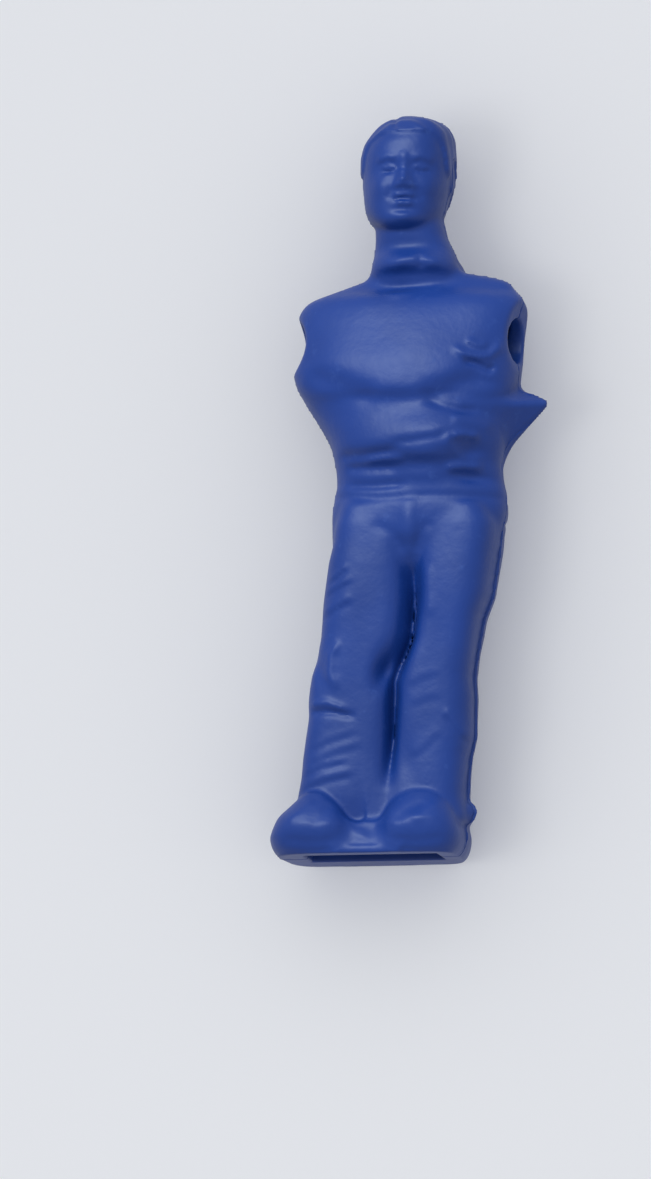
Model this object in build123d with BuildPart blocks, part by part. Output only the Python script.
"""Moulded workman figure for a model railway layout, without its arms.

The body is two thin plastic shells, a front and a back, cemented along a seam that runs round
the outline.  A bore through both shoulders takes the pegs of the arms, and a slot between the
shoes takes the flat tab of whatever carries the figure.

Millimetres.  +Z is up, the figure faces -Y, and its own left side is +X.  The origin is the
middle of the slot's mouth, on the plane of the soles.  The plane Y = 0 holds the seam, the
bore's axis and the middle of the slot.
"""

import os

from build123d import *

# Driving dimensions
HEIGHT = 36.2  # soles to crown

# Shoulder bore for the arm pegs, between two flat seats that are turned a little forward
BORE_RADIUS = 1.1
BORE_Z = 25.0
SEAT_RIGHT_X = -3.35
SEAT_LEFT_X = 7.35
SEAT_Z = 25.4
SEAT_HEIGHT = 3.2
SEAT_TURN = 12.0  # degrees
BORE_OVERRUN = 2.0  # how far the cutter starts outside each seat

# Slot between the shoes for the carrying tab
SLOT_WIDTH = 6.5
SLOT_THICK = 2.8
SLOT_DEPTH = 2.4

# Head and neck
HEAD_X = 1.6
CHIN_Z = 30.6
NECK_X = 1.95
NECK_Y = 0.1
NECK_RADIUS = 1.95
COLLAR_Z = 28.9
COLLAR_RADIUS = 1.75  # to the middle of the rolled bead
COLLAR_BEAD = 0.45

# Pointed stub at the left side of the waist: three corners of its root as (y, z), and its tip
STUB_ROOT_X = 4.6
STUB_ROOT = [(1.3, 23.0), (-2.2, 22.0), (1.2, 18.9)]
STUB_TIP = (8.1, 0.0, 22.0)
STUB_TIP_SIZE = 0.12  # the blunted tip, as a share of the root

# Web between the shoes, and the thinner one that joins the legs above it: corners as (x, z)
WEB_X = 0.0
WEB_Y = 0.1
WEB_WIDTH = 1.8
WEB_DEPTH = 4.8
WEB_HEIGHT = 3.1
LEG_WEB = [(-1.6, 2.0), (2.4, 2.0), (4.0, 15.0), (-0.2, 15.0)]
LEG_WEB_THICK = 2.0

# Pegs of the back shell and their sockets in the front shell: (x, z)
PEG_RADIUS = 0.5
PEG_LENGTH = 1.0
PEG_CLEARANCE = 0.05
PEG_PLACES = [(HEAD_X, 33.4), (2.0, 15.4), (-1.5, 4.6), (2.9, 4.6)]

# Cross-sections: (height, middle x, middle y, width, depth, corner radius)
TRUNK = [
    (13.6, 1.90, 0.15, 7.2, 3.9, 1.8),
    (14.6, 1.92, 0.15, 8.2, 4.7, 2.1),
    (16.4, 2.14, 0.10, 8.5, 5.3, 2.3),
    (18.5, 2.20, 0.00, 8.1, 5.1, 2.3),
    (20.6, 2.00, -0.10, 8.8, 5.4, 2.4),
    (22.9, 1.62, -0.20, 10.8, 6.0, 2.7),
    (25.2, 2.00, -0.05, 10.9, 5.7, 2.6),
    (26.7, 1.98, 0.10, 10.8, 4.6, 2.2),
    (27.7, 2.35, 0.15, 8.6, 3.9, 1.8),
    (28.5, 2.10, 0.15, 5.2, 3.4, 1.6),
]
RIGHT_LEG = [
    (16.8, 0.10, 0.10, 3.4, 4.2, 1.6),
    (14.4, -0.48, 0.10, 3.8, 4.6, 1.8),
    (10.6, -0.72, -0.05, 3.9, 4.4, 1.8),
    (6.7, -1.35, 0.05, 3.7, 4.2, 1.8),
    (2.4, -1.75, 0.10, 4.0, 3.9, 1.7),
]
LEFT_LEG = [
    (16.8, 4.00, 0.10, 3.8, 4.2, 1.6),
    (14.4, 3.90, 0.10, 4.6, 4.6, 1.8),
    (10.6, 3.50, -0.05, 3.8, 4.4, 1.8),
    (6.7, 2.90, 0.05, 4.2, 4.2, 1.8),
    (2.4, 2.75, 0.10, 3.9, 3.9, 1.7),
]
RIGHT_SHOE = [
    (0.0, -2.75, 0.10, 4.4, 5.2, 1.6),
    (1.2, -2.65, -0.05, 4.7, 5.7, 1.8),
    (2.4, -2.45, 0.00, 3.9, 4.7, 1.7),
    (3.1, -2.30, 0.10, 3.0, 3.6, 1.4),
]
LEFT_SHOE = [
    (0.0, 2.30, 0.10, 4.3, 5.2, 1.6),
    (1.2, 2.30, -0.05, 4.5, 5.7, 1.8),
    (2.4, 2.25, 0.00, 4.2, 4.7, 1.7),
    (3.1, 2.20, 0.10, 3.4, 3.6, 1.4),
]
HEAD = [  # height, middle y, width, depth
    (30.3, -0.35, 1.9, 2.6),
    (31.2, -0.30, 3.8, 4.2),
    (32.6, -0.10, 4.6, 5.0),
    (34.0, 0.05, 4.65, 5.2),
    (35.2, 0.10, 4.0, 4.5),
    (36.0, 0.10, 2.4, 2.8),
    (HEIGHT, 0.10, 1.2, 1.4),
]
TRUNK_CORE = [
    (16.9, 2.14, 0.05, 6.2, 3.4, 1.2),
    (20.6, 2.00, -0.10, 6.8, 3.6, 1.4),
    (22.9, 1.62, -0.20, 8.8, 4.1, 1.6),
    (26.5, 2.00, 0.05, 8.0, 2.8, 1.2),
]
RIGHT_LEG_CORE = [
    (13.6, -0.45, 0.05, 2.0, 2.4, 0.8),
    (10.6, -0.72, -0.05, 2.1, 2.4, 0.9),
    (6.0, -1.40, 0.05, 2.0, 2.2, 0.8),
]
LEFT_LEG_CORE = [
    (13.6, 3.85, 0.05, 2.6, 2.4, 0.8),
    (10.6, 3.50, -0.05, 2.1, 2.4, 0.9),
    (6.0, 2.90, 0.05, 2.2, 2.2, 0.8),
]


# ---------------------------------------------------------------- the whole outer figure
with BuildPart() as figure:
    # Trunk, legs and shoes are skinned through rounded cross-sections
    for sections in (TRUNK, RIGHT_LEG, LEFT_LEG, RIGHT_SHOE, LEFT_SHOE):
        for height, middle_x, middle_y, width, depth, corner in sections:
            with BuildSketch(Plane((middle_x, middle_y, height))):
                RectangleRounded(width, depth, corner)
        loft()

    # Webs of plastic that join the two shoes and the two legs
    with BuildSketch(Plane((WEB_X, WEB_Y, 0))):
        RectangleRounded(WEB_WIDTH, WEB_DEPTH, 0.5)
    extrude(amount=WEB_HEIGHT)
    with BuildSketch(Plane.XZ):
        with BuildLine():
            Polyline(*LEG_WEB, close=True)
        make_face()
    extrude(amount=LEG_WEB_THICK / 2, both=True)

    # Neck, with the rolled collar round it
    with BuildSketch(Plane((NECK_X, NECK_Y, COLLAR_Z - 2.0))):
        Circle(NECK_RADIUS)
    extrude(amount=CHIN_Z - COLLAR_Z + 3.0)
    with BuildSketch(Plane.XZ.offset(-NECK_Y)):
        with Locations((NECK_X + COLLAR_RADIUS, COLLAR_Z)):
            Circle(COLLAR_BEAD)
    revolve(axis=Axis((NECK_X, NECK_Y, 0), (0, 0, 1)))

    # Head: an egg with its small end at the chin
    for height, middle_y, width, depth in HEAD:
        with BuildSketch(Plane((HEAD_X, middle_y, height))):
            Ellipse(width / 2, depth / 2)
    loft()

    # Pointed stub at the left of the waist: a wedge with its sharp edge forward, thinning to its tip
    tip_x, tip_y, tip_z = STUB_TIP
    tip = [(tip_y + (y - tip_y) * STUB_TIP_SIZE, tip_z + (z - tip_z) * STUB_TIP_SIZE) for y, z in STUB_ROOT]
    for x, corners in ((STUB_ROOT_X, STUB_ROOT), (tip_x, tip)):
        with BuildSketch(Plane((x, 0, 0), x_dir=(0, 1, 0), z_dir=(1, 0, 0))):
            with BuildLine():
                Polyline(*corners, close=True)
            make_face()
    loft(ruled=True)

    # Flat seats that the arms turn against, one at each shoulder, facing out and a little forward
    for seat_x, side in ((SEAT_RIGHT_X, -1), (SEAT_LEFT_X, 1)):
        facing = Vector(side, 0, 0).rotate(Axis.Z, -side * SEAT_TURN)
        with BuildSketch(Plane((seat_x, 0, SEAT_Z), x_dir=(0, 0, 1), z_dir=facing)):
            RectangleRounded(SEAT_HEIGHT, 8.0, 1.2)
        extrude(amount=BORE_OVERRUN, mode=Mode.SUBTRACT)

# ---------------------------------------------------------------- hollow inside
with BuildPart() as hollow:
    for sections in (TRUNK_CORE, RIGHT_LEG_CORE, LEFT_LEG_CORE):
        for height, middle_x, middle_y, width, depth, corner in sections:
            with BuildSketch(Plane((middle_x, middle_y, height))):
                RectangleRounded(width, depth, corner)
        loft()

# ---------------------------------------------------------------- body before it is parted
with BuildPart() as body:
    add(figure.part)
    add(hollow.part, mode=Mode.SUBTRACT)
    # Slot for the carrying tab, open at the soles
    with BuildSketch(Plane.XY):
        Rectangle(SLOT_WIDTH, SLOT_THICK)
    extrude(amount=SLOT_DEPTH, mode=Mode.SUBTRACT)
    # Bore for the arm pegs, from shoulder to shoulder
    with BuildSketch(Plane.YZ.offset(SEAT_RIGHT_X - BORE_OVERRUN)):
        with Locations((0, BORE_Z)):
            Circle(BORE_RADIUS)
    extrude(amount=SEAT_LEFT_X - SEAT_RIGHT_X + 2 * BORE_OVERRUN, mode=Mode.SUBTRACT)

# ---------------------------------------------------------------- front shell
with BuildPart() as front_shell:
    add(body.part)
    split(bisect_by=Plane.XZ, keep=Keep.TOP)
    # Sockets for the back shell's pegs, drilled forward from the seam
    with BuildSketch(Plane.XZ):
        with Locations(*PEG_PLACES):
            Circle(PEG_RADIUS + PEG_CLEARANCE)
    extrude(amount=PEG_LENGTH + PEG_CLEARANCE, mode=Mode.SUBTRACT)

front_shell.part.label = "front_shell"

# ---------------------------------------------------------------- back shell
with BuildPart() as back_shell:
    add(body.part)
    split(bisect_by=Plane.XZ, keep=Keep.BOTTOM)
    with BuildSketch(Plane.XZ):
        with Locations(*PEG_PLACES):
            Circle(PEG_RADIUS)
    extrude(amount=PEG_LENGTH)

back_shell.part.label = "back_shell"

# ---------------------------------------------------------------- files
os.makedirs("parts", exist_ok=True)
for shell in (front_shell, back_shell):
    export_step(shell.part, f"parts/{shell.part.label}.step")
